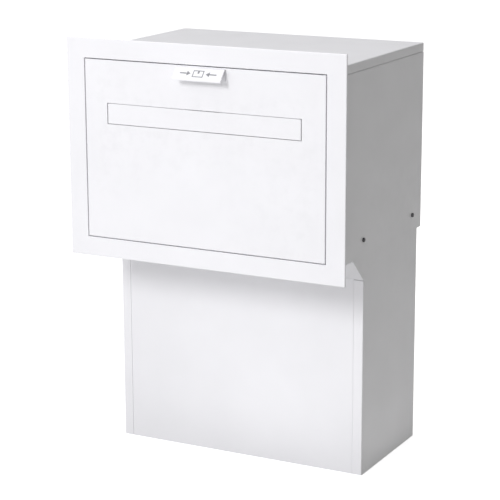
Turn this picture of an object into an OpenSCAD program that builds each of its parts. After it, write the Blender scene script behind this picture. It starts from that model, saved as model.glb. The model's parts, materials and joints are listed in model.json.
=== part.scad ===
// Parcel drop box: a framed tilting hopper door with a letter slot, an upper casing,
// and a narrower lower box with a lockable rear door.
// Origin: centre of the lower box's underside. The front faces -Y, and +Z is up.

/* [Overall] */
// Height from the base to the top of the front frame
total_h = 680; // [664:1:720]
// Thickness of the folded sheet metal
sheet = 1.5; // [1.2:0.1:1.6]

/* [Front frame] */
// Width of the front frame
frame_w = 476; // [472:1:500]
// Height of the front frame
frame_h = 344; // [344:1:348]
// Thickness of the front frame's folded-over outer border
frame_t = 3; // [3:0.5:4]
// Depth of the lip behind the door opening
lip_depth = 15; // [12:1:16]

/* [Parcel door] */
// Width of the parcel door
door_w = 410; // [405:1:411]
// Height of the parcel door
door_h = 279.5; // [276:0.5:280]
// Height of the door's bottom edge above the frame's bottom edge
door_rise = 32; // [32:0.5:34]
// Gap all round the door
door_gap = 1.5; // [1.5:0.25:2.25]
// Depth of the door's return flanges behind its front sheet
door_flange = 18.5; // [16.5:0.5:18.5]

/* [Letter flap] */
// Width of the letter flap
flap_w = 330; // [300:1:332]
// Height of the letter flap
flap_h = 31; // [28:0.2:34]
// Gap at each end of the flap
flap_gap = 1.3; // [1.2:0.1:1.6]
// Gap above and below the flap
flap_gap_z = 0.9; // [0.8:0.1:1.4]
// Height of the flap's top edge below the door's top edge
flap_drop = 67; // [60:0.5:80]

/* [Handle] */
// Width of the pull tab
handle_w = 82; // [70:1:100]
// How far the pull tab stands out of the door
handle_reach = 17; // [14:1:20]
// Height of the pull tab
handle_h = 17.5; // [14:0.5:18]

/* [Upper casing] */
// Width of the upper casing
hood_w = 438; // [438:1:440]
// Height of the upper casing
hood_h = 300; // [298:1:302]
// Depth from the front of the frame to the back of the casing
hood_d = 336; // [334:1:340]
// Depth of the lid's turned-down rim
lid_rim = 13.5; // [12:0.5:15]

/* [Lower box] */
// Width of the lower box
lower_w = 434; // [430:1:434]
// Depth of the lower box
lower_d = 210; // [208:1:212]
// Height of the vertical part of the lower front panel
lower_front_h = 317; // [312:1:318]
// Distance from the frame's front face back to the lower front panel
overhang = 115; // [113:1:117]
// Width of the flanges that wrap round onto the lower front
front_flange = 16; // [12:1:18]

/* [Rear door] */
// Width of the rear door
rear_door_w = 370; // [360:1:372]
// Height of the rear door
rear_door_h = 290; // [280:1:292]
// Gap all round the rear door
rear_gap = 2; // [1.5:0.5:2]

/* [Hidden] */
$fn = 48;

WHITE = [0.95, 0.95, 0.96];
STEEL = [0.66, 0.67, 0.69];
DARK = [0.2, 0.2, 0.22];
RUBBER = [0.12, 0.12, 0.13];
GREY = [0.62, 0.63, 0.66];

pin_clear = 0.05;
// How far a cutting shape runs past the face that it cuts
over = 1;
rivet_head_r = 3;
rivet_head_t = 1;

// Front frame and door opening
frame_y = -lower_d / 2 - overhang;
frame_back = frame_y + sheet;
hem_back = frame_y + frame_t;
hem_gap = 0.5;
frame_z = total_h - frame_h;
door_z = frame_z + door_rise;
door_top = door_z + door_h;
open_x = door_w / 2 + door_gap;
open_z = door_z - door_gap;
open_top = door_top + door_gap;
lip_back = hem_back + lip_depth;

// Upper casing
hood_x = hood_w / 2;
hood_in = hood_x - sheet;
frame_rise = 22;
hood_top = total_h - frame_rise;
hood_z = hood_top - hood_h;
hood_back = frame_y + hood_d;
lid_seam = hood_top - lid_rim;
seam_gap = 0.5;
joggle_h = 20;
casing_flange = 15;
front_return = 5.5;
return_rise = 2;
lintel_rise = 3;
rear_ledge_gap = 0.5;

// Lower box
lower_x = lower_w / 2;
lower_in = lower_x - sheet;
lower_y = -lower_d / 2;
lower_back = lower_d / 2;
side_rise = 72;
lower_top = hood_z + side_rise;
slope_run = 41;
slope_flange = 14;
panel_gap = 1;
panel_x = lower_x - front_flange - panel_gap;
panel_step = 4;
flange_drop = 0.8;
flange_top = lower_front_h - flange_drop;
base_flange = 12;

// Holes in the base for floor anchors
anchor_r = 4.25;
anchor_dx = 300;
anchor_dy = 120;

// Baffle inside the casing
baffle_y = lower_back - 70;
baffle_low = hood_z + 100;
baffle_bend = hood_z + 112;
baffle_high = hood_z + 182;
baffle_top = hood_z + 202;

// Screws that join the casing to the lower box
screw_r = 2.5;
screw_rise = 25.5;
screw_z = hood_z + screw_rise;
screw_ys = [frame_y + 107, frame_y + 299];
screw_hole = screw_r + 0.25;
screw_tail = 6;
screw_head_r = 3.4;
screw_head_t = 2.2;
socket_r = 1.5;
socket_depth = 1.3;
nut_r = 4.6;
nut_t = 4;

// Parcel door hinge, behind and above the door's bottom edge
hinge_in = 4.5;
hinge_rise = 9;
hinge_y = frame_y + hinge_in;
hinge_z = door_z + hinge_rise;
hinge_r = 2;
clip_x = open_x + sheet;
clip_t = 1.5;
clip_r = 4;
clip_grip = 0.02;
rod_tail = 3;

// Pull tab
handle_drop = 1.5;
handle_lip = 2.5;
handle_tuck = 1;
handle_fold = 2.6;
handle_top = door_top - handle_drop;
handle_low = handle_top - handle_h;
handle_tip = frame_y - handle_reach;
handle_rivet_x = 30;
handle_rivet_rise = 6;
art_depth = 0.3;
art_line = 1.3;

// Hopper
tray_inset = 6.5;
tray_x = door_w / 2 - tray_inset;
tray_front = 3.5;
tray_flat = 70;
tray_run = 210;
tray_drop = 96.5;
tray_end = [frame_y + tray_run, door_z - tray_drop];
tray_lip = 12;
tray_wall = 25;
tray_rivet_y = 14;
cheek_r = 255;
cheek_angle = 40;
cheek_flange = 12;
cheek_flange_rise = 20;
cheek_flange_drop = 4;
hinge_room = 0.6;

// Letter flap
flap_top = door_top - flap_drop;
flap_t = 2;
flap_axis_in = 3.5;
flap_axis_drop = 2;
flap_axis_y = frame_y + flap_axis_in;
flap_axis_z = flap_top - flap_axis_drop;
flap_rod_r = 1.5;
flap_rod_tail = 4;
flap_hem_r = 3;
flap_hem_end = 5;
flap_x = flap_w / 2;
bracket_gap = 1.7;
bracket_x = flap_x + flap_gap + bracket_gap;
bracket_low = flap_axis_z - 9;
bracket_high = flap_axis_z + 7;
bracket_depth = 10;
bracket_foot = 12;
bracket_foot_h = 5;
spring_x = 30;
spring_wire = 0.6;
spring_turns = 8;
spring_pitch = 1.1;
spring_r = 2.4;
spring_leg = 12;
spring_room = 0.4;

// Door stops
stop_x = 130;
stop_w = 30;
stop_h = 12;
stop_gap = 2.5;
stop_foot = 3;
stop_face = frame_y + sheet + door_flange + stop_gap;
bumper_r = 5;
bumper_t = 2.3;
bumper_drop = 3;
bumper_z = door_top - bumper_drop;

// Rear door
rear_x = rear_door_w / 2;
rear_z = 30;
rear_top = rear_z + rear_door_h;
rear_flange = 12;
leaf_t = 1.5;
knuckle_r = 4;
knuckle_off = 0.2;
rear_pin_r = 2;
rear_axis_out = 5;
rear_axis = [-rear_x - rear_axis_out, lower_back + knuckle_r + knuckle_off];
leaf_h = 50;
knuckle_h = leaf_h / 3;
knuckle_gap = 0.3;
frame_leaf_w = 16;
door_leaf_w = 20;
leaf_relief = 6;
leaf_rivet_dz = 18;
pin_rise = 0.5;
pin_head_t = 1.5;
rear_hinge_in = 50;
hinge_zs = [rear_z + rear_hinge_in, rear_top - rear_hinge_in];

// Cam lock
lock_in = 20;
lock_x = rear_x - lock_in;
lock_z = rear_z + rear_door_h / 2;
barrel_r = 9.5;
barrel_len = 20;
barrel_back = lower_back - barrel_len;
barrel_hole = barrel_r + 0.2;
bezel_r = barrel_r + 2.5;
bezel_t = 2;
plug_r = 6;
plug_tip = barrel_back - 1;
plug_proud = 0.2;
keyway = [1.2, 10, 7];
lock_nut_r = 13.5;
lock_nut_t = 4;
cam_t = 2;
cam_reach = 34;
cam_w = 14;
cam_eye_r = 9;
cam_nut_r = 5.5;
cam_nut_t = 4;
stud_len = 7;
tail = 6;
keeper_gap = 2;
keeper_x = rear_x + rear_gap + keeper_gap;
keeper_h = 30;
keeper_base = 20;
keeper_finger = 12;

// ---- Helpers ----

function unit(v) = v / norm(v);
function left_of(v) = [-v[1], v[0]];
function step(p, i) = unit(p[i] - p[i - 1]);
function mitre(a, b) = (left_of(a) + left_of(b)) / (1 + a * b);
// Points of a path moved t to its left
function beside(p, t) = [
  for (i = [0 : len(p) - 1])
    p[i] + t * mitre(step(p, max(i, 1)), step(p, min(i + 1, len(p) - 1)))
];
function backwards(p) = [for (i = [len(p) - 1 : -1 : 0]) p[i]];
// Section of a folded sheet whose outer face follows the path p
function folded(p, t) = concat(p, backwards(beside(p, t)));

module block(lo, hi) translate(lo) cube(hi - lo);

// A side view, given as [y, z] points, carried from x0 to x1
module along_x(points, x0, x1)
  translate([x0, 0, 0]) rotate([90, 0, 90]) linear_extrude(x1 - x0) polygon(points);

module rod_x(x0, x1, y, z, r)
  translate([x0, y, z]) rotate([0, 90, 0]) cylinder(h = x1 - x0, r = r);

module rod_y(x, y0, y1, z, r, sides = 48)
  translate([x, y0, z]) rotate([-90, 0, 0]) cylinder(h = y1 - y0, r = r, $fn = sides);

module both_sides() {
  children();
  mirror([1, 0, 0]) children();
}

// ---- Casing ----

module front_frame() color(WHITE) {
  difference() {
    block([-frame_w / 2, frame_y, frame_z], [frame_w / 2, hem_back, total_h]);
    block([-open_x, frame_y - over, open_z], [open_x, frame_back + over, open_top]);
    // The border is double only outside the casing's outline
    block(
      [-hood_x - hem_gap, frame_back, hood_z - hem_gap],
      [hood_x + hem_gap, hem_back + over, hood_top + hem_gap]
    );
  }
  difference() {
    block(
      [-open_x - sheet, frame_back, open_z - sheet],
      [open_x + sheet, lip_back, open_top + sheet]
    );
    block([-open_x, frame_back - over, open_z], [open_x, lip_back + over, open_top]);
    rod_x(-hood_x, hood_x, hinge_y, hinge_z, hinge_r + pin_clear);
  }
}

module hood_shell() color(WHITE) {
  flange_y = frame_back + sheet;
  rear_in = hood_back - sheet;
  joggle_z = lid_seam - seam_gap - joggle_h / 2;
  both_sides() {
    difference() {
      block([hood_in, frame_back, hood_z], [hood_x, hood_back, lid_seam - seam_gap]);
      for (y = screw_ys)
        rod_x(hood_in - over, hood_x + over, y, screw_z, screw_hole);
    }
    block([hood_in - sheet, flange_y, joggle_z], [hood_in, rear_in, hood_top - sheet]);
    block(
      [hood_in - sheet - casing_flange, flange_y, hood_top - 2 * sheet],
      [hood_in - sheet, rear_in - sheet, hood_top - sheet]
    );
    block(
      [hood_in - front_return, frame_back, hood_z + return_rise],
      [hood_in, flange_y, hood_top - sheet]
    );
  }
  block([-hood_in, rear_in, hood_z], [hood_in, hood_back, lid_seam - seam_gap]);
  block([-hood_in, rear_in - sheet, joggle_z], [hood_in, rear_in, hood_top - sheet]);
  block(
    [-hood_in, rear_in - sheet - casing_flange, hood_top - 2 * sheet],
    [hood_in, rear_in - sheet, hood_top - sheet]
  );
  block([-hood_in, frame_back, open_top + lintel_rise], [hood_in, flange_y, hood_top - sheet]);
  block([-lower_in, lower_back + rear_ledge_gap, hood_z], [lower_in, rear_in, hood_z + sheet]);
}

module hood_lid() color(WHITE) {
  block([-hood_x, frame_back, hood_top - sheet], [hood_x, hood_back, hood_top]);
  both_sides()
    block([hood_in, frame_back, lid_seam], [hood_x, hood_back, hood_top - sheet]);
  block([-hood_in, hood_back - sheet, lid_seam], [hood_in, hood_back, hood_top - sheet]);
}

module hood_floor() color(WHITE) {
  floor_back = lower_y - slope_run - seam_gap;
  block([-hood_in, frame_back, hood_z], [hood_in, floor_back, hood_z + sheet]);
  both_sides()
    block(
      [hood_in - sheet, frame_back + sheet, hood_z + sheet],
      [hood_in, floor_back, hood_z + base_flange]
    );
}

// ---- Lower box ----

// Outer face of the lower front, from the flange under the casing down to the base
front_path = [
  [lower_y - slope_run - slope_flange, hood_z - sheet],
  [lower_y - slope_run, hood_z - sheet],
  [lower_y, lower_front_h],
  [lower_y, 0]
];

module lower_side() {
  inner = beside(front_path, sheet);
  outline = [
    [lower_back, 0],
    [lower_back, lower_top],
    [inner[1][0], lower_top],
    inner[1],
    inner[2],
    [lower_y + sheet, flange_top],
    [lower_y, flange_top],
    [lower_y, 0]
  ];
  difference() {
    along_x(outline, lower_in, lower_x);
    for (y = screw_ys)
      rod_x(lower_in - over, lower_x + over, y, screw_z, screw_hole);
  }
  block([lower_x - front_flange, lower_y, 0], [lower_in, lower_y + sheet, flange_top]);
}

module lower_side_right() color(WHITE) lower_side();

module lower_side_left() color(WHITE) mirror([1, 0, 0]) lower_side();

module lower_front_panel() color(WHITE) {
  slope_path = [for (i = [0 : 2]) front_path[i]];
  along_x(folded(front_path, sheet), -panel_x, panel_x);
  both_sides() {
    along_x(folded(slope_path, sheet), panel_x, lower_x);
    // Stepped edge behind the side flange
    block(
      [panel_x - panel_step, lower_y + sheet, sheet],
      [lower_in - sheet, lower_y + 2 * sheet, flange_top]
    );
  }
}

module base_panel() color(WHITE) {
  front = lower_y + sheet;
  back = lower_back - sheet;
  top = base_flange + sheet;
  difference() {
    block([-lower_in, front, 0], [lower_in, back, sheet]);
    for (x = [-1, 1], y = [-1, 1])
      translate([x * anchor_dx / 2, y * anchor_dy / 2, -over])
        cylinder(h = sheet + 2 * over, r = anchor_r);
  }
  block([-panel_x, front + sheet, sheet], [panel_x, front + 2 * sheet, top]);
  block([-lower_in, back - sheet, sheet], [lower_in, back, top]);
  both_sides()
    block([lower_in - sheet, front + 2 * sheet, sheet], [lower_in, back - sheet, top]);
}

module rear_frame() color(WHITE)
  difference() {
    block([-lower_in, lower_back - sheet, 0], [lower_in, lower_back, lower_top]);
    block(
      [-rear_x - rear_gap, lower_back - sheet - over, rear_z - rear_gap],
      [rear_x + rear_gap, lower_back + over, rear_top + rear_gap]
    );
  }

// Sloped plate that stops a hand reaching over the raised hopper
module baffle_plate() color(WHITE) {
  back = hood_back - sheet;
  plate_path = [
    [baffle_y, baffle_low], [baffle_y, baffle_bend], [back, baffle_high], [back, baffle_top]
  ];
  along_x(folded(plate_path, sheet), -hood_in, hood_in);
}

module joint_screws() color(DARK)
  both_sides()
    for (y = screw_ys) {
      rod_x(lower_in - screw_tail, hood_x, y, screw_z, screw_r);
      difference() {
        rod_x(hood_x, hood_x + screw_head_t, y, screw_z, screw_head_r);
        translate([hood_x + screw_head_t - socket_depth, y, screw_z]) rotate([0, 90, 0])
          cylinder(h = socket_depth + over, r = socket_r, $fn = 6);
      }
    }

module joint_nuts() color(STEEL)
  both_sides()
    for (y = screw_ys)
      translate([lower_in - nut_t, y, screw_z]) rotate([0, 90, 0])
        difference() {
          cylinder(h = nut_t, r = nut_r, $fn = 6);
          translate([0, 0, -over]) cylinder(h = nut_t + 2 * over, r = screw_r + pin_clear);
        }

// ---- Parcel door hinge and stops ----

module door_hinge_rod() color(STEEL)
  rod_x(-clip_x - rod_tail, clip_x + rod_tail, hinge_y, hinge_z, hinge_r);

module hinge_rod_clips() color(STEEL)
  both_sides()
    difference() {
      rod_x(clip_x, clip_x + clip_t, hinge_y, hinge_z, clip_r);
      rod_x(clip_x - over, clip_x + clip_t + over, hinge_y, hinge_z, hinge_r + clip_grip);
      // Flat side against the back of the frame
      block(
        [clip_x - over, frame_y - over, hinge_z - clip_r - over],
        [clip_x + clip_t + over, frame_back, hinge_z + clip_r + over]
      );
    }

module door_stop() {
  lip_top = open_top + sheet;
  block(
    [stop_x - stop_w / 2, frame_back + stop_foot, lip_top],
    [stop_x + stop_w / 2, stop_face + sheet, lip_top + sheet]
  );
  block(
    [stop_x - stop_w / 2, stop_face, bumper_z - stop_h],
    [stop_x + stop_w / 2, stop_face + sheet, lip_top]
  );
}

module door_stop_right() color(WHITE) door_stop();

module door_stop_left() color(WHITE) mirror([1, 0, 0]) door_stop();

module door_bumpers() color(RUBBER)
  both_sides()
    rod_y(stop_x, stop_face - bumper_t, stop_face, bumper_z, bumper_r);

// ---- Parcel door ----

module door_panel() color(WHITE) {
  skin = frame_y + sheet;
  back = skin + door_flange;
  slot_x = flap_x + flap_gap;
  difference() {
    block([-door_w / 2, frame_y, door_z], [door_w / 2, skin, door_top]);
    block(
      [-slot_x, frame_y - over, flap_top - flap_h - flap_gap_z],
      [slot_x, skin + over, flap_top + flap_gap_z]
    );
  }
  block([-door_w / 2, skin, door_z], [door_w / 2, back, door_z + sheet]);
  block([-door_w / 2, skin, door_top - sheet], [door_w / 2, back, door_top]);
  both_sides()
    difference() {
      block([door_w / 2 - sheet, skin, door_z], [door_w / 2, back, door_top]);
      rod_x(0, door_w, hinge_y, hinge_z, hinge_r + pin_clear);
    }
}

// Outer face of the pull tab, from its lower lip up and back down its rear leg
handle_path = [
  [handle_tip, handle_low - handle_tuck],
  [handle_tip, handle_low - handle_tuck + handle_lip],
  [frame_y - handle_fold, handle_top],
  [frame_y, handle_top],
  [frame_y, handle_low]
];
face_run = handle_path[2] - handle_path[1];
face_len = norm(face_run);
face_angle = atan2(face_run[1], face_run[0]);

module handle_body()
  along_x(folded(backwards(handle_path), sheet), -handle_w / 2, handle_w / 2);

// Puts flat art on the sloping face: x across, y up the slope
module on_handle_face(depth, lift)
  translate([0, handle_path[1][0], handle_path[1][1]])
    rotate([face_angle, 0, 0]) translate([0, 0, lift - depth]) linear_extrude(depth) children();

// A taped parcel between two arrows
module handle_art() {
  mid = face_len / 2;
  parcel = [18, 12];
  tape = [3, 5.5];
  arrow_x = 13;
  head = [6, 4];
  shaft = 12;
  difference() {
    square_at([0, mid], parcel);
    square_at([0, mid], parcel - 2 * [art_line, art_line]);
  }
  square_at([0, mid + (parcel[1] - tape[1]) / 2], tape);
  for (side = [-1, 1]) {
    square_at([side * (arrow_x + head[0] + shaft / 2), mid], [shaft, 1.5 * art_line]);
    translate([side * arrow_x, mid])
      polygon([[0, 0], [side * head[0], head[1]], [side * head[0], -head[1]]]);
  }
}

module square_at(centre, size) translate(centre) square(size, center = true);

module door_handle() color(WHITE)
  difference() {
    handle_body();
    on_handle_face(art_depth + over, over) handle_art();
  }

module handle_icon() color(GREY) on_handle_face(art_depth, 0) handle_art();

module handle_rivets() color(STEEL)
  both_sides()
    rod_y(
      handle_rivet_x, frame_y + sheet, frame_y + sheet + rivet_head_t,
      handle_low + handle_rivet_rise, rivet_head_r
    );

// ---- Hopper ----

tray_path = [
  [frame_y + tray_front, door_z + sheet],
  [frame_y + tray_flat, door_z + sheet],
  tray_end
];

module hinge_clearance() rod_x(-door_w, door_w, hinge_y, hinge_z, hinge_r + hinge_room);

module hopper_tray() color(WHITE) {
  slope = unit(tray_path[2] - tray_path[1]);
  lip_end = tray_end - tray_lip * left_of(slope);
  along_x(folded(concat(tray_path, [lip_end]), sheet), -tray_x + sheet, tray_x - sheet);
  both_sides()
    difference() {
      along_x(folded(tray_path, tray_wall), tray_x - sheet, tray_x);
      hinge_clearance();
    }
}

module hopper_cheek() {
  skin = frame_y + sheet;
  foot = door_z + 2 * sheet;
  arc = [
    for (a = [cheek_angle : 5 : 90])
      [hinge_y + cheek_r * cos(a), hinge_z + cheek_r * sin(a)]
  ];
  outline = concat([[skin, foot], [frame_y + tray_flat, foot]], arc, [[skin, hinge_z + cheek_r]]);
  difference() {
    along_x(outline, tray_x, tray_x + sheet);
    hinge_clearance();
  }
  block(
    [tray_x - cheek_flange, skin, hinge_z + cheek_flange_rise],
    [tray_x, skin + sheet, hinge_z + cheek_r - cheek_flange_drop]
  );
}

module hopper_cheek_right() color(WHITE) hopper_cheek();

module hopper_cheek_left() color(WHITE) mirror([1, 0, 0]) hopper_cheek();

// Heads above the tray and below the door's bottom flange
module tray_rivets() color(STEEL)
  for (x = [-150 : 100 : 150])
    for (z = [door_z - rivet_head_t, door_z + 2 * sheet])
      translate([x, frame_y + tray_rivet_y, z]) cylinder(h = rivet_head_t, r = rivet_head_r);

// ---- Letter flap ----

module flap_bracket() {
  skin = frame_y + sheet;
  difference() {
    block([bracket_x, skin, bracket_low], [bracket_x + sheet, skin + bracket_depth, bracket_high]);
    rod_x(
      bracket_x - over, bracket_x + sheet + over, flap_axis_y, flap_axis_z, flap_rod_r + pin_clear
    );
  }
  block(
    [bracket_x + sheet, skin, bracket_low],
    [bracket_x + bracket_foot, skin + sheet, bracket_low + bracket_foot_h]
  );
}

module flap_bracket_right() color(STEEL) flap_bracket();

module flap_bracket_left() color(STEEL) mirror([1, 0, 0]) flap_bracket();

module flap_rod() color(STEEL)
  rod_x(
    -bracket_x - flap_rod_tail, bracket_x + flap_rod_tail, flap_axis_y, flap_axis_z, flap_rod_r
  );

// Coil round the rod between the flap's two hems, with one leg up behind the door
module flap_spring() color(STEEL) {
  half = (spring_turns - 1) / 2;
  for (i = [0 : spring_turns - 1])
    translate([(i - half) * spring_pitch, flap_axis_y, flap_axis_z]) rotate([0, 90, 0])
      rotate_extrude() translate([spring_r, 0]) circle(r = spring_wire, $fn = 16);
  translate([half * spring_pitch, flap_axis_y + spring_r, flap_axis_z])
    cylinder(h = spring_leg, r = spring_wire, $fn = 16);
}

module letter_flap() color(WHITE)
  difference() {
    union() {
      block([-flap_x, frame_y, flap_top - flap_h], [flap_x, frame_y + flap_t, flap_top]);
      both_sides()
        rod_x(spring_x, flap_x - flap_hem_end, flap_axis_y, flap_axis_z, flap_hem_r);
    }
    rod_x(-flap_w, flap_w, flap_axis_y, flap_axis_z, flap_rod_r + pin_clear);
    rod_x(-spring_x, spring_x, flap_axis_y, flap_axis_z, flap_hem_r + spring_room);
  }

// ---- Rear door and its hinges ----

module knuckle(z0, z1)
  translate([rear_axis[0], rear_axis[1], z0]) cylinder(h = z1 - z0, r = knuckle_r);

module knuckle_bore(z)
  translate([rear_axis[0], rear_axis[1], z - leaf_h])
    cylinder(h = 2 * leaf_h, r = rear_pin_r + pin_clear);

// Frame leaf: the two outer knuckles
module frame_leaf(z) {
  low = z - leaf_h / 2;
  high = z + leaf_h / 2;
  difference() {
    union() {
      block(
        [rear_axis[0] - frame_leaf_w, lower_back, low],
        [rear_axis[0] - leaf_relief, lower_back + leaf_t, high]
      );
      for (ends = [[low, low + knuckle_h - knuckle_gap], [high - knuckle_h + knuckle_gap, high]]) {
        block(
          [rear_axis[0] - leaf_relief, lower_back, ends[0]],
          [rear_axis[0], lower_back + leaf_t, ends[1]]
        );
        knuckle(ends[0], ends[1]);
      }
    }
    knuckle_bore(z);
  }
}

// Door leaf: the middle knuckle
module door_leaf(z) {
  low = z - knuckle_h / 2;
  high = z + knuckle_h / 2;
  difference() {
    union() {
      block(
        [rear_axis[0] + leaf_relief, lower_back, z - leaf_h / 2],
        [rear_axis[0] + door_leaf_w, lower_back + leaf_t, z + leaf_h / 2]
      );
      block(
        [rear_axis[0], lower_back, low],
        [rear_axis[0] + leaf_relief, lower_back + leaf_t, high]
      );
      knuckle(low, high);
    }
    knuckle_bore(z);
  }
}

module hinge_pin(z)
  translate([rear_axis[0], rear_axis[1], z - leaf_h / 2]) {
    cylinder(h = leaf_h + pin_rise, r = rear_pin_r);
    translate([0, 0, leaf_h + pin_rise]) cylinder(h = pin_head_t, r = knuckle_r - pin_rise);
  }

module upper_hinge_frame_leaf() color(STEEL) frame_leaf(hinge_zs[1]);

module lower_hinge_frame_leaf() color(STEEL) frame_leaf(hinge_zs[0]);

module upper_hinge_door_leaf() color(STEEL) door_leaf(hinge_zs[1]);

module lower_hinge_door_leaf() color(STEEL) door_leaf(hinge_zs[0]);

module upper_hinge_pin() color(STEEL) hinge_pin(hinge_zs[1]);

module lower_hinge_pin() color(STEEL) hinge_pin(hinge_zs[0]);

module leaf_rivets(x)
  for (z = hinge_zs, side = [-1, 1])
    rod_y(
      x, lower_back + leaf_t, lower_back + leaf_t + rivet_head_t,
      z + side * leaf_rivet_dz, rivet_head_r
    );

module frame_leaf_rivets() color(STEEL)
  leaf_rivets(rear_axis[0] - (frame_leaf_w + leaf_relief) / 2);

module door_leaf_rivets() color(STEEL)
  leaf_rivets(rear_axis[0] + (door_leaf_w + leaf_relief) / 2);

module rear_door_panel() color(WHITE) {
  skin = lower_back - sheet;
  front = skin - rear_flange;
  difference() {
    block([-rear_x, skin, rear_z], [rear_x, lower_back, rear_top]);
    rod_y(lock_x, skin - over, lower_back + over, lock_z, barrel_hole);
  }
  both_sides()
    block([rear_x - sheet, front, rear_z], [rear_x, skin, rear_top]);
  for (z = [rear_z, rear_top - sheet])
    block([-rear_x + sheet, front, z], [rear_x - sheet, skin, z + sheet]);
}

// ---- Lock ----

// Folded keeper that the cam turns behind
module lock_keeper() color(STEEL) {
  skin = lower_back - sheet;
  z0 = lock_z - keeper_h / 2;
  z1 = lock_z + keeper_h / 2;
  block([keeper_x, skin - sheet, z0], [keeper_x + keeper_base, skin, z1]);
  block([keeper_x, barrel_back, z0], [keeper_x + sheet, skin - sheet, z1]);
  block([keeper_x + sheet, barrel_back, z0], [keeper_x + keeper_finger, barrel_back + sheet, z1]);
}

module lock_barrel() color(STEEL)
  difference() {
    union() {
      rod_y(lock_x, barrel_back, lower_back, lock_z, barrel_r);
      rod_y(lock_x, lower_back, lower_back + bezel_t, lock_z, bezel_r);
    }
    rod_y(lock_x, barrel_back - over, lower_back + bezel_t + over, lock_z, plug_r + pin_clear);
  }

module lock_nut() color(STEEL)
  difference() {
    rod_y(lock_x, lower_back - sheet - lock_nut_t, lower_back - sheet, lock_z, lock_nut_r, 6);
    rod_y(lock_x, barrel_back, lower_back, lock_z, barrel_r + pin_clear);
  }

module lock_plug() color(STEEL)
  difference() {
    union() {
      rod_y(lock_x, plug_tip, lower_back + bezel_t + plug_proud, lock_z, plug_r);
      translate([lock_x, plug_tip - cam_t / 2, lock_z])
        cube([tail, cam_t, tail], center = true);
      rod_y(lock_x, plug_tip - stud_len, plug_tip - cam_t, lock_z, screw_r);
    }
    translate([lock_x, lower_back, lock_z]) cube(keyway, center = true);
  }

// Cam arm, which hangs down while the lock is open
module lock_cam() color(STEEL)
  translate([lock_x, plug_tip, lock_z])
    rotate([90, 0, 0]) linear_extrude(cam_t)
      difference() {
        union() {
          circle(r = cam_eye_r);
          translate([-cam_w / 2, -cam_reach + cam_w / 2]) square([cam_w, cam_reach - cam_w / 2]);
          translate([0, -cam_reach + cam_w / 2]) circle(r = cam_w / 2);
        }
        square(tail + 2 * pin_clear, center = true);
      }

module cam_nut() color(STEEL)
  difference() {
    rod_y(lock_x, plug_tip - cam_t - cam_nut_t, plug_tip - cam_t, lock_z, cam_nut_r, 6);
    rod_y(lock_x, plug_tip - stud_len - over, plug_tip, lock_z, screw_r + pin_clear);
  }

front_frame();
hood_shell();
hood_lid();
hood_floor();
lower_side_left();
lower_side_right();
lower_front_panel();
base_panel();
rear_frame();
baffle_plate();
joint_screws();
joint_nuts();
door_hinge_rod();
hinge_rod_clips();
door_stop_left();
door_stop_right();
door_bumpers();
door_panel();
door_handle();
handle_icon();
handle_rivets();
hopper_tray();
hopper_cheek_left();
hopper_cheek_right();
tray_rivets();
flap_bracket_left();
flap_bracket_right();
flap_rod();
flap_spring();
letter_flap();
upper_hinge_frame_leaf();
lower_hinge_frame_leaf();
upper_hinge_pin();
lower_hinge_pin();
upper_hinge_door_leaf();
lower_hinge_door_leaf();
frame_leaf_rivets();
door_leaf_rivets();
rear_door_panel();
lock_keeper();
lock_barrel();
lock_nut();
lock_plug();
lock_cam();
cam_nut();
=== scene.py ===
import json
import math

import bmesh
import bpy
from mathutils import Matrix, Vector


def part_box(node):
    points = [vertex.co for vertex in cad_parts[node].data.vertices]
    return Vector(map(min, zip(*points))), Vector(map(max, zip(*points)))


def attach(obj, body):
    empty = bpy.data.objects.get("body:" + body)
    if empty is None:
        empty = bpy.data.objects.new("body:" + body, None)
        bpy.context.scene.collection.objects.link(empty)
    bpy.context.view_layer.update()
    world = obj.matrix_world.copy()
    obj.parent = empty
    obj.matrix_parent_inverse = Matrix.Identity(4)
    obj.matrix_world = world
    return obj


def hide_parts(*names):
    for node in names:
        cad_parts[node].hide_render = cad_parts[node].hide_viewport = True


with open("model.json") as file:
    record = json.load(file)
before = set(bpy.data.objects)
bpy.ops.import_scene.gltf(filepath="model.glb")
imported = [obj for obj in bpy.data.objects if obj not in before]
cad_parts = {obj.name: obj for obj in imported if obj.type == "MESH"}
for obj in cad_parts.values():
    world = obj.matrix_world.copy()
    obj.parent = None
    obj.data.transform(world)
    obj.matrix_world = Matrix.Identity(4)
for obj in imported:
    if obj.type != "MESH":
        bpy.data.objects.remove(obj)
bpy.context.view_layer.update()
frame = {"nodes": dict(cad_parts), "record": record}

MM = 0.001

# ---- Sizes taken from the frame ----

T = 1.5 * MM
FOLD_R = 1.3 * MM
CUT_EDGE = 0.25 * MM
FOLD_ANGLE = 0.6
SEGMENTS = 4
SAME_POINT = 1e-6

FRAME_LO, FRAME_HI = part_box("front_frame")
HOOD_LO, HOOD_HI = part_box("hood_shell")
LID_LO, LID_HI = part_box("hood_lid")
DOOR_LO, DOOR_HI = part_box("door_panel")
FLAP_LO, FLAP_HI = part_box("letter_flap")
SIDE_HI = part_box("lower_side_right")[1]
PANEL_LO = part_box("lower_front_panel")[0]
REAR_LO, REAR_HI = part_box("rear_door_panel")
TAB_LO, TAB_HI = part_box("door_handle")
LOWER_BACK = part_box("rear_frame")[1].y

FRAME_Y = FRAME_LO.y
FRAME_BACK = HOOD_LO.y
DOOR_GAP = 1.5 * MM
FLAP_GAP = 1.3 * MM
FLAP_GAP_Z = 0.9 * MM
HEM_GAP = 0.5 * MM
FLAP_H = 31 * MM
FLAP_TOP = FLAP_LO.z + FLAP_H


# ---- Mesh helpers ----


def new_object(name, bm):
    mesh = bpy.data.meshes.new(name)
    bm.to_mesh(mesh)
    bm.free()
    obj = bpy.data.objects.new(name, mesh)
    bpy.context.scene.collection.objects.link(obj)
    return obj


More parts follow.
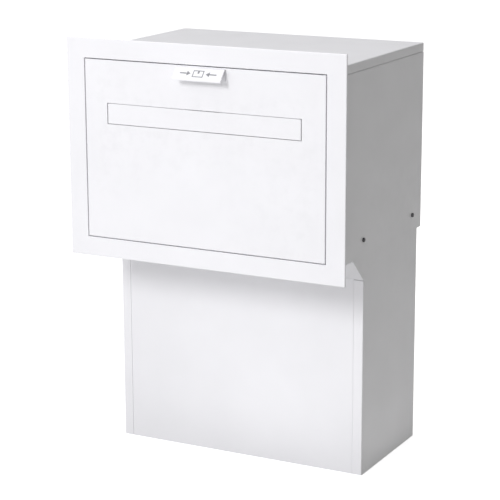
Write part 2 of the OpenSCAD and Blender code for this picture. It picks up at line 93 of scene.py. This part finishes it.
def point_on(axis, at, u, v):
    """A point on the plane where that axis is at, from its other two coordinates."""
    p = [u, v]
    p.insert(axis, at)
    return Vector(p)


def grid(axis, at, us, vs, skip=()):
    """Quads of a flat panel between grid lines, without the cells in skip."""
    cells = [
        (i, j)
        for i in range(len(us) - 1)
        for j in range(len(vs) - 1)
        if (i, j) not in skip
    ]
    return [
        [
            point_on(axis, at, us[i], vs[j]),
            point_on(axis, at, us[i + 1], vs[j]),
            point_on(axis, at, us[i + 1], vs[j + 1]),
            point_on(axis, at, us[i], vs[j + 1]),
        ]
        for i, j in cells
    ]


def mirrored(faces):
    return [[Vector((-p.x, p.y, p.z)) for p in reversed(f)] for f in faces]


def swept(path, x0, x1):
    """Quads along X between neighbouring (y, z) points of a path."""
    return [
        [Vector((x0, *a)), Vector((x1, *a)), Vector((x1, *b)), Vector((x0, *b))]
        for a, b in zip(path, path[1:])
    ]


def is_outside(edge, bounds):
    """Whether an edge's middle is farther out in |x|, or outside the range of z, in bounds."""
    if not bounds:
        return False
    x_limit, z_low, z_high = bounds
    middle = (edge.verts[0].co + edge.verts[1].co) / 2
    return abs(middle.x) > x_limit or not z_low < middle.z < z_high


def folded_sheet(name, faces, out, thickness=T, fold=FOLD_R, hem=0, hem_beyond=None):
    """A sheet-metal piece: outer faces that share edges are folded with a radius, then
    thickened inwards. out is the side that its largest face looks to. Folds outside
    hem_beyond get the radius hem instead."""
    bm = bmesh.new()
    for f in faces:
        bm.faces.new([bm.verts.new(p) for p in f])
    bmesh.ops.remove_doubles(bm, verts=bm.verts, dist=SAME_POINT)
    bmesh.ops.recalc_face_normals(bm, faces=bm.faces)
    bm.faces.ensure_lookup_table()
    first = max(bm.faces, key=lambda f: f.normal.dot(Vector(out)) ** 2 * f.calc_area())
    if first.normal.dot(Vector(out)) < 0:
        bmesh.ops.reverse_faces(bm, faces=bm.faces)
    for radius, outer in ((hem, True), (fold, False)):
        folds = [
            e for e in bm.edges
            if len(e.link_faces) == 2
            and e.calc_face_angle() > FOLD_ANGLE
            and is_outside(e, hem_beyond) == outer
        ]
        if folds:
            bmesh.ops.bevel(
                bm, geom=folds, offset=radius, segments=SEGMENTS, profile=0.5,
                affect="EDGES", clamp_overlap=True,
            )
    obj = new_object(name, bm)
    solid = obj.modifiers.new("thickness", "SOLIDIFY")
    solid.thickness = thickness
    solid.offset = -1
    solid.use_even_offset = True
    soften(obj)
    return obj


def soften(obj, angle=50):
    """Rounds sharp edges a little and keeps flat faces looking flat."""
    bevel = obj.modifiers.new("edges", "BEVEL")
    bevel.width = CUT_EDGE
    bevel.segments = 2
    bevel.limit_method = "ANGLE"
    bevel.angle_limit = math.radians(angle)
    for f in obj.data.polygons:
        f.use_smooth = True
    normals = obj.modifiers.new("normals", "WEIGHTED_NORMAL")
    normals.keep_sharp = True


# ---- Materials ----


NOISE_ROUGHNESS = 0.55


def new_material(name):
    mat = bpy.data.materials.new(name)
    mat.use_nodes = True
    tree = mat.node_tree
    return mat, tree, tree.nodes["Principled BSDF"]


def noise(tree, scale, detail):
    coords = tree.nodes.new("ShaderNodeTexCoord")
    tex = tree.nodes.new("ShaderNodeTexNoise")
    tex.inputs["Scale"].default_value = scale
    tex.inputs["Detail"].default_value = detail
    tex.inputs["Roughness"].default_value = NOISE_ROUGHNESS
    tree.links.new(coords.outputs["Object"], tex.inputs["Vector"])
    return tex.outputs["Fac"]


def ramp(tree, fac, stops):
    node = tree.nodes.new("ShaderNodeValToRGB")
    elements = node.color_ramp.elements
    while len(elements) < len(stops):
        elements.new(0.5)
    for element, (pos, colour) in zip(elements, stops):
        element.position = pos
        element.color = (*colour, 1)
    tree.links.new(fac, node.inputs["Fac"])
    return node.outputs["Color"]


def spread(tree, fac, low, high):
    node = tree.nodes.new("ShaderNodeMapRange")
    node.inputs["From Min"].default_value = 0.3
    node.inputs["From Max"].default_value = 0.7
    node.inputs["To Min"].default_value = low
    node.inputs["To Max"].default_value = high
    tree.links.new(fac, node.inputs["Value"])
    return node.outputs["Result"]


def bump(tree, height, strength, distance):
    node = tree.nodes.new("ShaderNodeBump")
    node.inputs["Strength"].default_value = strength
    node.inputs["Distance"].default_value = distance
    tree.links.new(height, node.inputs["Height"])
    return node.outputs["Normal"]


def surface(tree, shader, rough, grain, relief):
    """Uneven roughness between two limits, and a fine grain of a given scale and depth."""
    rough_scale, rough_detail, low, high = rough
    uneven = spread(tree, noise(tree, rough_scale, rough_detail), low, high)
    tree.links.new(uneven, shader.inputs["Roughness"])
    strength, depth = relief
    tree.links.new(bump(tree, noise(tree, grain, 2), strength, depth), shader.inputs["Normal"])


def mix_colour(tree, fac, a, b, mode="MIX"):
    node = tree.nodes.new("ShaderNodeMix")
    node.data_type = "RGBA"
    node.blend_type = mode
    for socket, value in (("Factor", fac), ("A", a), ("B", b)):
        target = next(
            s for s in node.inputs
            if s.name == socket and s.type == ("VALUE" if socket == "Factor" else "RGBA")
        )
        if isinstance(value, bpy.types.NodeSocket):
            tree.links.new(value, target)
        else:
            target.default_value = value if socket == "Factor" else (*value, 1)
    return next(s for s in node.outputs if s.type == "RGBA")


def powder_coat(name, colour, rough=0.42, peel=620):
    """Satin powder coat: faint mottling, orange peel, and thinner paint along the edges."""
    mat, tree, shader = new_material(name)
    light = tuple(min(1.0, c * 1.012) for c in colour)
    dark = tuple(c * 0.978 for c in colour)
    mottled = ramp(tree, noise(tree, 9, 4), [(0.3, dark), (0.7, light)])
    geometry = tree.nodes.new("ShaderNodeNewGeometry")
    worn = tuple(c * 0.9 for c in colour)
    edge = ramp(tree, geometry.outputs["Pointiness"], [(0.56, (0, 0, 0)), (0.66, (1, 1, 1))])
    patchy = ramp(tree, noise(tree, 55, 3), [(0.45, (0, 0, 0)), (0.7, (0.5, 0.5, 0.5))])
    wear = mix_colour(tree, 1.0, edge, patchy, "MULTIPLY")
    to_fac = tree.nodes.new("ShaderNodeRGBToBW")
    tree.links.new(wear, to_fac.inputs["Color"])
    painted = mix_colour(tree, to_fac.outputs["Val"], mottled, worn)
    tree.links.new(painted, shader.inputs["Base Color"])
    surface(tree, shader, (38, 5, rough - 0.05, rough + 0.06), peel, (0.16, 0.25 * MM))
    shader.inputs["Specular IOR Level"].default_value = 0.45
    return mat


def plain_surface(name, scale, detail, stops, rough, grain, relief, metallic=0.0):
    """A material whose colour varies a little between two tones."""
    mat, tree, shader = new_material(name)
    shader.inputs["Metallic"].default_value = metallic
    tone = ramp(tree, noise(tree, scale, detail), stops)
    tree.links.new(tone, shader.inputs["Base Color"])
    surface(tree, shader, rough, grain, relief)
    return mat


WHITE = (0.864, 0.86, 0.886)
MATERIALS = {
    "white_sheet": powder_coat("white_powder_coat", WHITE),
    "zinc_steel": plain_surface(
        "zinc_steel", 140, 4, [(0.3, (0.5, 0.505, 0.52)), (0.7, (0.68, 0.685, 0.7))],
        rough=(420, 4, 0.26, 0.42), grain=900, relief=(0.1, 0.1 * MM), metallic=1.0,
    ),
    "dark_screw": plain_surface(
        "black_oxide", 300, 3, [(0.3, (0.035, 0.035, 0.04)), (0.75, (0.08, 0.08, 0.085))],
        rough=(500, 3, 0.34, 0.5), grain=1500, relief=(0.1, 0.1 * MM), metallic=0.7,
    ),
    "rubber": plain_surface(
        "rubber", 200, 3, [(0.3, (0.02, 0.02, 0.022)), (0.75, (0.04, 0.04, 0.042))],
        rough=(300, 3, 0.7, 0.85), grain=1800, relief=(0.2, 0.2 * MM),
    ),
    "icon_grey": plain_surface(
        "icon_grey", 260, 3, [(0.3, (0.22, 0.225, 0.24)), (0.7, (0.29, 0.295, 0.31))],
        rough=(300, 3, 0.45, 0.6), grain=1400, relief=(0.1, 0.1 * MM),
    ),
}


def finish_piece(obj, body, slot, *nodes):
    obj.data.materials.append(MATERIALS[slot])
    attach(obj, body)
    if nodes:
        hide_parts(*nodes)


# ---- Front frame ----


FRAME_SHEET = 1.45 * MM
FRAME_FOLD = 0.9 * MM
HEM_FOLD = 1.4 * MM


def border(x, low, high, ix, i0, i1):
    """(x, z) points round a rectangle, with the corners of an opening carried out to its sides."""
    return [
        (-x, low), (-ix, low), (ix, low), (x, low), (x, i0), (x, i1),
        (x, high), (ix, high), (-ix, high), (-x, high), (-x, i1), (-x, i0),
    ]


def front_frame():
    """Fascia with a hem folded flat behind its outer edge and a lip round the door opening."""
    ox, z0, z1 = FRAME_HI.x, FRAME_LO.z, FRAME_HI.z
    ix = DOOR_HI.x + DOOR_GAP
    i0, i1 = DOOR_LO.z - DOOR_GAP, DOOR_HI.z + DOOR_GAP
    back, lip = FRAME_Y + 2 * T, FRAME_HI.y
    xs, zs = [-ox, -ix, ix, ox], [z0, i0, i1, z1]
    faces = grid(1, FRAME_Y, xs, zs, skip=[(1, 1)])
    for x in (-ox, ox):
        faces += grid(0, x, [FRAME_Y, back], zs)
    for z in (z0, z1):
        faces += grid(2, z, xs, [FRAME_Y, back])
    for x in (-ix, ix):
        faces += grid(0, x, [FRAME_Y, lip], [i0, i1])
    for z in (i0, i1):
        faces += grid(2, z, [-ix, ix], [FRAME_Y, lip])
    hx, h0, h1 = HOOD_HI.x + HEM_GAP, HOOD_LO.z - HEM_GAP, LID_HI.z + HEM_GAP
    outer = border(ox, z0, z1, ix, i0, i1)
    inner = border(hx, h0, h1, ix, i0, i1)
    for k in range(len(outer)):
        a, b = outer[k], outer[(k + 1) % len(outer)]
        c, d = inner[(k + 1) % len(inner)], inner[k]
        faces.append([Vector((p[0], back, p[1])) for p in (a, b, c, d)])
    piece = folded_sheet(
        "frame_fascia", faces, (0, -1, 0), thickness=FRAME_SHEET, fold=FRAME_FOLD,
        hem=HEM_FOLD, hem_beyond=(hx, h0, h1),
    )
    finish_piece(piece, "housing", "white_sheet", "front_frame")


# ---- Upper casing ----

JOG = 1.0 * MM
CASING_FLANGE = 15 * MM
CASING_FOLD = 0.9 * MM
LID_FOLD = 2.0 * MM
SEAM_GAP = 0.5 * MM
DRIP_GAP = 0.5 * MM


def casing_path(inset):
    """(x, y) corners of the casing's wrap, from its left front round the back."""
    x, y = HOOD_HI.x - inset, HOOD_HI.y - inset
    return [(-x, FRAME_BACK), (-x, y), (x, y), (x, FRAME_BACK)]


def casing_shell():
    """Sides and back in one wrap, stepped in behind the lid's rim and flanged at the top."""
    seam = LID_LO.z - SEAM_GAP
    levels = [
        (HOOD_LO.z, 0), (seam - JOG, 0), (seam, T), (HOOD_HI.z, T), (HOOD_HI.z, T + CASING_FLANGE),
    ]
    faces = []
    for (z0, a), (z1, b) in zip(levels, levels[1:]):
        low, high = casing_path(a), casing_path(b)
        for k in range(3):
            faces.append([
                Vector((*low[k], z0)), Vector((*low[k + 1], z0)),
                Vector((*high[k + 1], z1)), Vector((*high[k], z1)),
            ])
    drip = LOWER_BACK + DRIP_GAP
    x = HOOD_HI.x
    faces.append([
        Vector((-x, HOOD_HI.y, HOOD_LO.z)), Vector((x, HOOD_HI.y, HOOD_LO.z)),
        Vector((x, drip, HOOD_LO.z)), Vector((-x, drip, HOOD_LO.z)),
    ])
    piece = folded_sheet("casing_wrap", faces, (0, 1, 0), fold=CASING_FOLD)
    finish_piece(piece, "housing", "white_sheet", "hood_shell")


def casing_lid():
    """Top sheet with a rim turned down at the sides and the back."""
    x, y0, y1, z0, z1 = LID_HI.x, LID_LO.y, LID_HI.y, LID_LO.z, LID_HI.z
    faces = grid(2, z1, [-x, x], [y0, y1])
    for side in (-x, x):
        faces += grid(0, side, [y0, y1], [z0, z1])
    faces += grid(1, y1, [-x, x], [z0, z1])
    piece = folded_sheet("casing_lid", faces, (0, 0, 1), fold=LID_FOLD)
    finish_piece(piece, "housing", "white_sheet", "hood_lid")


# ---- Lower box ----

FRONT_FLANGE = 16 * MM
PANEL_GAP = 1.0 * MM
SLOPE_TOP_Z = HOOD_LO.z - T
LOWER_FRONT = -LOWER_BACK
LOWER_FRONT_H = 317 * MM
SLOPE_RUN = 41 * MM
SLOPE_TOP_Y = LOWER_FRONT - SLOPE_RUN
FLANGE_TOP = LOWER_FRONT_H - 0.8 * MM
# The side sheet's edge under the slope, in behind the front panel
SIDE_SET_BACK = 0.6 * MM
SIDE_RISE = 0.64 * MM
SIDE_FOLD = 1.6 * MM
PANEL_FOLD = 0.7 * MM


def lower_side(name, flip, node):
    """Side sheet with a flange that wraps round onto the lower front."""
    x, xi = SIDE_HI.x, SIDE_HI.x - FRONT_FLANGE
    back, top = SIDE_HI.y, SIDE_HI.z
    slope = [
        (SLOPE_TOP_Y + SIDE_SET_BACK, top),
        (SLOPE_TOP_Y + SIDE_SET_BACK, HOOD_LO.z),
        (LOWER_FRONT + T, LOWER_FRONT_H + SIDE_RISE),
        (LOWER_FRONT + T, FLANGE_TOP),
        (LOWER_FRONT, FLANGE_TOP),
    ]
    outline = [(back, 0), (back, top)] + slope + [(LOWER_FRONT, 0)]
    faces = [[Vector((x, *p)) for p in outline]]
    faces += grid(1, LOWER_FRONT, [xi, x], [0, FLANGE_TOP])
    out = (1, 0, 0)
    if flip:
        faces, out = mirrored(faces), (-1, 0, 0)
    piece = folded_sheet(name, faces, out, fold=SIDE_FOLD)
    finish_piece(piece, "housing", "white_sheet", node)


def lower_front():
    """Front panel: flange under the casing, slope, then the flat front with stepped edges."""
    x = SIDE_HI.x
    px = x - FRONT_FLANGE - PANEL_GAP
    wing = SIDE_HI.x - 2 * T
    y = LOWER_FRONT
    upper = [(PANEL_LO.y, SLOPE_TOP_Z), (SLOPE_TOP_Y, SLOPE_TOP_Z), (y, LOWER_FRONT_H)]
    faces = []
    for x0, x1 in ((-x, -px), (-px, px), (px, x)):
        faces += swept(upper, x0, x1)
    faces += swept([(y, LOWER_FRONT_H), (y, 0)], -px, px)
    for s in (-1, 1):
        steps = [(s * px, y), (s * (px + T), y + T), (s * wing, y + T)]
        for a, b in zip(steps, steps[1:]):
            faces.append([
                Vector((*a, LOWER_FRONT_H)), Vector((*b, LOWER_FRONT_H)),
                Vector((*b, 0)), Vector((*a, 0)),
            ])
    piece = folded_sheet("lower_front_sheet", faces, (0, -1, 0), fold=PANEL_FOLD)
    finish_piece(piece, "housing", "white_sheet", "lower_front_panel")


# ---- Parcel door ----


DOOR_FOLD = 0.8 * MM


def parcel_door():
    """Front sheet with the letter slot, and a flange turned back on every side."""
    x, z0, z1 = DOOR_HI.x, DOOR_LO.z, DOOR_HI.z
    sx = FLAP_HI.x + FLAP_GAP
    s0, s1 = FLAP_LO.z - FLAP_GAP_Z, FLAP_TOP + FLAP_GAP_Z
    back = DOOR_HI.y
    xs, zs = [-x, -sx, sx, x], [z0, s0, s1, z1]
    faces = grid(1, FRAME_Y, xs, zs, skip=[(1, 1)])
    for side in (-x, x):
        faces += grid(0, side, [FRAME_Y, back], zs)
    for z in (z0, z1):
        faces += grid(2, z, xs, [FRAME_Y, back])
    piece = folded_sheet("door_skin", faces, (0, -1, 0), fold=DOOR_FOLD)
    finish_piece(piece, "parcel_door", "white_sheet", "door_panel")


TAB_TOP_Y = FRAME_Y - 2.6 * MM
TAB_LIP = 2.5 * MM
TAB_FOOT = 1.0 * MM
TAB_FOLD = 1.4 * MM
# (y, z) ends of the pull tab's slope
SLOPE_HIGH = (TAB_TOP_Y, TAB_HI.z)
SLOPE_LOW = (TAB_LO.y, TAB_LO.z + TAB_LIP)


def pull_tab():
    """Folded sheet: up the door's face, forward, down the slope and down its lip."""
    path = [
        (FRAME_Y, TAB_LO.z + TAB_FOOT), (FRAME_Y, TAB_HI.z),
        SLOPE_HIGH, SLOPE_LOW, (TAB_LO.y, TAB_LO.z),
    ]
    faces = swept(path, -TAB_HI.x, TAB_HI.x)
    piece = folded_sheet("pull_tab", faces, (0, -0.7, 0.7), fold=TAB_FOLD)
    finish_piece(piece, "parcel_door", "white_sheet", "door_handle")


# The icon, in mm: the parcel's outline, its tape, and the arrows beside it
PARCEL_W, PARCEL_H = 18, 12
LINE_W = 1.3
TAPE_W, TAPE_H = 3, 5.5
SHAFT_MID, SHAFT_LEN = 25, 12
HEAD_TIP, HEAD_BACK, HEAD_HALF = 13, 19, 4
PRINT_RISE = 0.12 * MM
PRINT_SINK = 0.1 * MM


def tab_icon():
    """A taped parcel between two arrows, printed on the pull tab's slope."""
    a, b = Vector((0, *SLOPE_LOW)), Vector((0, *SLOPE_HIGH))
    up = (b - a).normalized()
    out = Vector((0, -up.z, up.y))
    middle = (a + b) / 2

    def on_slope(u, v):
        return middle + Vector((u * MM, 0, 0)) + up * v * MM + out * PRINT_RISE

    def shape(bm, points):
        top = [bm.verts.new(on_slope(u, v)) for u, v in points]
        low = [bm.verts.new(v.co - out * (PRINT_RISE + PRINT_SINK)) for v in top]
        bm.faces.new(top)
        bm.faces.new(list(reversed(low)))
        for k in range(len(top)):
            n = (k + 1) % len(top)
            bm.faces.new([top[k], low[k], low[n], top[n]])

    def bar(bm, u, v, width, height):
        shape(bm, [
            (u - width / 2, v - height / 2), (u + width / 2, v - height / 2),
            (u + width / 2, v + height / 2), (u - width / 2, v + height / 2),
        ])

    bm = bmesh.new()
    bar(bm, 0, (PARCEL_H - TAPE_H) / 2, TAPE_W, TAPE_H)
    for s in (-1, 1):
        bar(bm, 0, s * (PARCEL_H - LINE_W) / 2, PARCEL_W, LINE_W)
        bar(bm, s * (PARCEL_W - LINE_W) / 2, 0, LINE_W, PARCEL_H - 2 * LINE_W)
        bar(bm, s * SHAFT_MID, 0, SHAFT_LEN, 1.5 * LINE_W)
        back, half = s * HEAD_BACK, s * HEAD_HALF
        shape(bm, [(s * HEAD_TIP, 0), (back, half), (back, -half)])
    bmesh.ops.recalc_face_normals(bm, faces=bm.faces)
    piece = new_object("tab_print", bm)
    finish_piece(piece, "parcel_door", "icon_grey", "handle_icon")


# ---- Rear door ----


REAR_FOLD = 1.4 * MM


def rear_door():
    """Flat door with a flange turned inwards on every side."""
    x, z0, z1 = REAR_HI.x, REAR_LO.z, REAR_HI.z
    y, front = REAR_HI.y, REAR_LO.y
    faces = grid(1, y, [-x, x], [z0, z1])
    for side in (-x, x):
        faces += grid(0, side, [front, y], [z0, z1])
    for z in (z0, z1):
        faces += grid(2, z, [-x, x], [front, y])
    piece = folded_sheet("rear_door_skin", faces, (0, 1, 0), fold=REAR_FOLD)
    finish_piece(piece, "rear_door", "white_sheet", "rear_door_panel")


# ---- CAD nodes that stay ----


WELD_DISTANCE = 0.01 * MM


def dress_cad_nodes():
    """Each CAD piece that isn't replaced gets its material and softened edges."""
    slots = {s["node"]: s["material_slot"] for s in frame["record"]["subparts"]}
    for name, obj in frame["nodes"].items():
        if obj.hide_render:
            continue
        obj.data.materials.clear()
        obj.data.materials.append(MATERIALS[slots[name]])
        weld = obj.modifiers.new("weld", "WELD")
        weld.merge_threshold = WELD_DISTANCE
        soften(obj, angle=40)


# ---- Stage, light and camera ----


FLOOR_HALF = 30.0
FLOOR_GLOW = 0.6
WHITE_LIGHT = (1, 1, 1)


def floor():
    """Pale floor that the box stands on, with a glow of its own so that it reads as white."""
    f = FLOOR_HALF
    bm = bmesh.new()
    bm.faces.new([bm.verts.new(p) for p in ((-f, -f, 0), (f, -f, 0), (f, f, 0), (-f, f, 0))])
    obj = new_object("floor", bm)
    mat, tree, shader = new_material("floor_pale")
    tone = ramp(tree, noise(tree, 3, 3), [(0.3, (0.93, 0.93, 0.935)), (0.7, (0.95, 0.95, 0.955))])
    tree.links.new(tone, shader.inputs["Base Color"])
    shader.inputs["Roughness"].default_value = 0.9
    shader.inputs["Specular IOR Level"].default_value = 0.1
    shader.inputs["Emission Color"].default_value = (*WHITE_LIGHT, 1)
    shader.inputs["Emission Strength"].default_value = FLOOR_GLOW
    obj.data.materials.append(mat)
    obj.visible_diffuse = False


def area_light(name, place, target, size, watts):
    data = bpy.data.lights.new(name, "AREA")
    data.shape = "DISK"
    data.size = size
    data.energy = watts
    data.color = WHITE_LIGHT
    obj = bpy.data.objects.new(name, data)
    obj.location = place
    obj.rotation_euler = (Vector(target) - Vector(place)).to_track_quat("-Z", "Y").to_euler()
    obj.visible_camera = False
    bpy.context.scene.collection.objects.link(obj)


KEY_DIRECTION = Vector((-0.47, -0.68, 0.6)).normalized()
SKY_LOW = (0.25, 0.249, 0.238)
SKY_HIGH = (0.85, 0.85, 0.87)


def studio_world():
    """Soft surround, brighter towards the key light and dim on the far side."""
    world = bpy.data.worlds.new("studio")
    world.use_nodes = True
    tree = world.node_tree
    coords = tree.nodes.new("ShaderNodeTexCoord")
    towards = tree.nodes.new("ShaderNodeVectorMath")
    towards.operation = "DOT_PRODUCT"
    towards.inputs[1].default_value = KEY_DIRECTION
    tree.links.new(coords.outputs["Generated"], towards.inputs[0])
    level = tree.nodes.new("ShaderNodeMapRange")
    level.interpolation_type = "SMOOTHSTEP"
    level.inputs["From Min"].default_value = -0.1
    level.inputs["From Max"].default_value = 1.0
    tree.links.new(towards.outputs["Value"], level.inputs["Value"])
    tone = ramp(tree, level.outputs["Result"], [(0, SKY_LOW), (1, SKY_HIGH)])
    tree.links.new(tone, tree.nodes["Background"].inputs["Color"])
    bpy.context.scene.world = world


BOX_MIDDLE = Vector((0, 0, 0.4))
FLOOR_LIGHT_Z = 0.003


def lights():
    """Key light from the front left, a soft one overhead, and the floor's bounce."""
    studio_world()
    area_light("key", (-0.9, -3.3, 2.2), BOX_MIDDLE, 1.2, 55)
    area_light("overhead", (-0.2, 0.3, 3.4), BOX_MIDDLE, 2.0, 22)
    # Light that a pale floor sends back up in front of the box and beside it
    for name, x, y, size, watts in (
        ("floor_ahead", -0.5, -2.0, 1.4, 12),
        ("floor_near", 0.05, -0.42, 0.4, 0.4),
        ("floor_beside", 0.45, 0.0, 0.42, 0.1),
    ):
        area_light(name, (x, y, FLOOR_LIGHT_Z), (x, y, 1), size, watts)


# The camera's place, how far it turns from straight ahead, looks down and leans, and its lens
CAMERA_AT = (1.29703, -2.54447, 1.02116)
CAMERA_TURN = math.radians(27.62)
CAMERA_DOWN = math.radians(13.82)
CAMERA_LEAN = math.radians(-0.19)
LENS_MM = 129.4
SENSOR_MM = 36


def camera():
    t, d, r = CAMERA_TURN, CAMERA_DOWN, CAMERA_LEAN
    ahead = Vector((-math.sin(t) * math.cos(d), math.cos(t) * math.cos(d), -math.sin(d)))
    right = Vector((math.cos(t), math.sin(t), 0))
    up = right.cross(ahead)
    leaned_right = right * math.cos(r) + up * math.sin(r)
    leaned_up = up * math.cos(r) - right * math.sin(r)
    data = bpy.data.cameras.new("camera")
    data.lens = LENS_MM
    data.sensor_width = SENSOR_MM
    obj = bpy.data.objects.new("camera", data)
    turn = Matrix((leaned_right, leaned_up, -ahead)).transposed().to_4x4()
    obj.matrix_world = Matrix.Translation(CAMERA_AT) @ turn
    bpy.context.scene.collection.objects.link(obj)
    bpy.context.scene.camera = obj


camera()
lights()
floor()
front_frame()
casing_shell()
casing_lid()
lower_side("lower_wrap_right", False, "lower_side_right")
lower_side("lower_wrap_left", True, "lower_side_left")
lower_front()
parcel_door()
pull_tab()
tab_icon()
rear_door()
dress_cad_nodes()
bpy.context.scene.view_settings.view_transform = "Standard"
